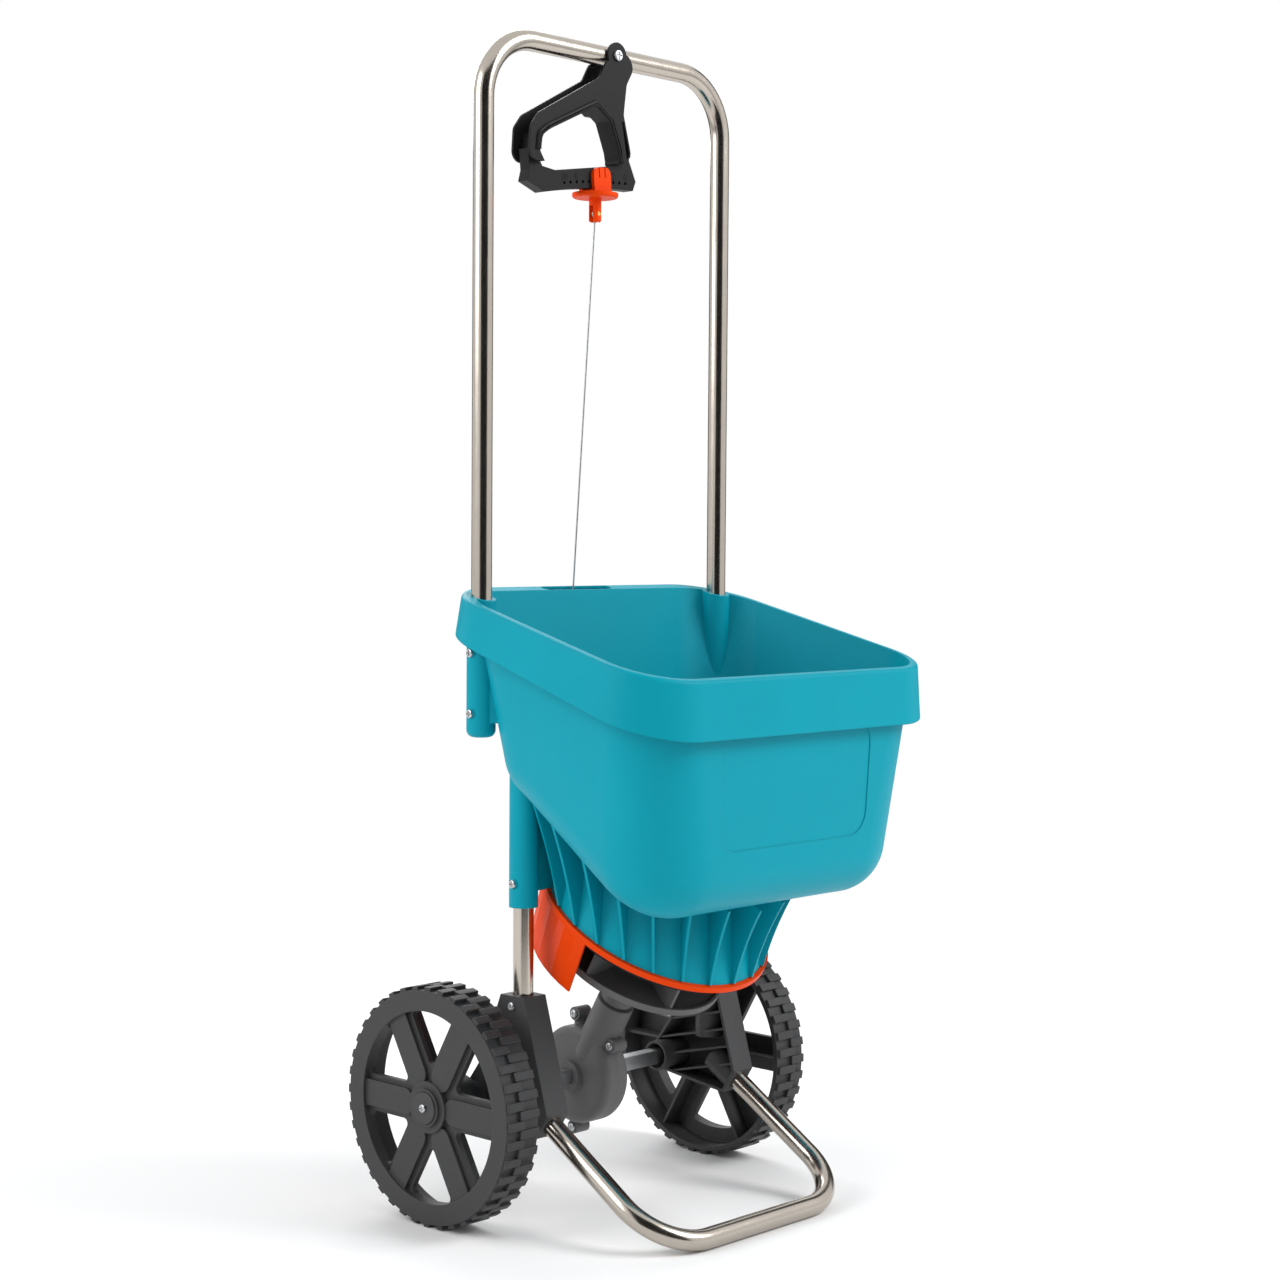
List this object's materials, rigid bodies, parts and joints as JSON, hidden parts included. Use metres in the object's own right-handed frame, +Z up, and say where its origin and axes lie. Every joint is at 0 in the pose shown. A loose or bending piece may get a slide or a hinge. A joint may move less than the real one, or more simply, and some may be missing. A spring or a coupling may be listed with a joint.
{
  "type": "garden spreader",
  "caption": "Push broadcast spreader: hopper on wheels, tube handle with dosing lever, geared spinning disc under a sliding shutter, turning side deflector",
  "frame": {"origin": "middle of the bounding box's base, on the ground between wheels and stand", "axes": "+Z up, +X along the axle to the right of someone who faces the hopper's front, front of the hopper towards -Y, operator behind at +Y"},
  "size_m": [0.4402, 0.4094, 1.153],
  "materials": {
    "teal_plastic": "fine moulded grain, satin",
    "orange_plastic": "satin moulded",
    "black_plastic": "satin moulded",
    "wheel_plastic": "fine moulded grain",
    "cap_plastic": "gloss",
    "grey_plastic": "satin moulded",
    "tube_steel": "ground stainless tube",
    "zinc_steel": "zinc plated",
    "brass": "plain brass"
  },
  "bodies": {
    "frame": {"hopper": "teal_plastic", "handle_tube": "tube_steel", "left_leg_tube": "tube_steel", "right_leg_tube": "tube_steel", "left_axle_bracket": "black_plastic", "right_axle_bracket": "black_plastic", "stand_tube": "tube_steel", "floor_plate": "black_plastic", "left_gearbox_case": "grey_plastic", "right_gearbox_case": "grey_plastic", "gearbox_screws": "zinc_steel", "shaft_bush": "grey_plastic", "shutter_pin": "zinc_steel", "shutter_spring": "zinc_steel", "lever_bolt": "zinc_steel", "lever_nut": "zinc_steel", "tube_screws": "zinc_steel", "bracket_screws": "zinc_steel"},
    "wheelset": {"axle": "zinc_steel", "left_wheel": "wheel_plastic", "right_wheel": "wheel_plastic", "left_hub_cap": "cap_plastic", "right_hub_cap": "cap_plastic", "hub_screws": "zinc_steel", "left_axle_bush": "black_plastic", "right_axle_bush": "black_plastic", "crown_gear": "grey_plastic"},
    "spinner": {"spinner": "grey_plastic", "spinner_shaft": "zinc_steel", "pinion": "grey_plastic", "agitator": "black_plastic"},
    "lever": {"control_lever": "black_plastic"},
    "slider": {"dosing_slider": "orange_plastic"},
    "wire": {"wire_barrel": "brass", "pull_wire": "zinc_steel", "wire_nipple": "brass"},
    "shutter": {"shutter": "black_plastic"},
    "deflector": {"deflector": "orange_plastic"}
  },
  "joints": [
    {"name": "axle_spin", "type": "hinge", "parent": "frame", "child": "wheelset", "pos_m": [0, 0.08874, 0.116], "axis": [1, 0, 0], "continuous": true},
    {"name": "spinner_spin", "type": "hinge", "parent": "frame", "child": "spinner", "pos_m": [0, 0.08874, 0.116], "axis": [0, -0.5, 0.866], "continuous": true},
    {"name": "lever_swing", "type": "hinge", "parent": "frame", "child": "lever", "pos_m": [0, 0.06274, 1.14], "axis": [0, 1, 0], "range_deg": [0, 20]},
    {"name": "dosing_shift", "type": "hinge", "parent": "lever", "child": "slider", "pos_m": [0.03901, 0.06274, 0.37458], "axis": [0, 1, 0], "range_deg": [-4.55, 2.95]},
    {"name": "wire_turn", "type": "hinge", "parent": "slider", "child": "wire", "pos_m": [-0.0173, 0.06274, 0.98317], "axis": [0, 1, 0], "range_deg": [-25.5, 0.5]},
    {"name": "shutter_slide", "type": "slide", "parent": "frame", "child": "shutter", "axis": [0, 0.866, 0.5], "range_m": [0, 0.03], "stiffness_N_per_m": 250, "springref_m": -0.01, "deforming": ["shutter_spring"]},
    {"name": "deflector_turn", "type": "hinge", "parent": "frame", "child": "deflector", "pos_m": [0, 0.08874, 0.116], "axis": [0, -0.5, 0.866], "range_deg": [-50, 50]}
  ],
  "couplings": [
    {"joint": "spinner_spin", "follows": "axle_spin", "ratio": -4},
    {"joint": "shutter_slide", "follows": "lever_swing", "m_per_rad": 0.0859},
    {"joint": "wire_turn", "follows": "lever_swing", "ratio": -1.25}
  ]
}
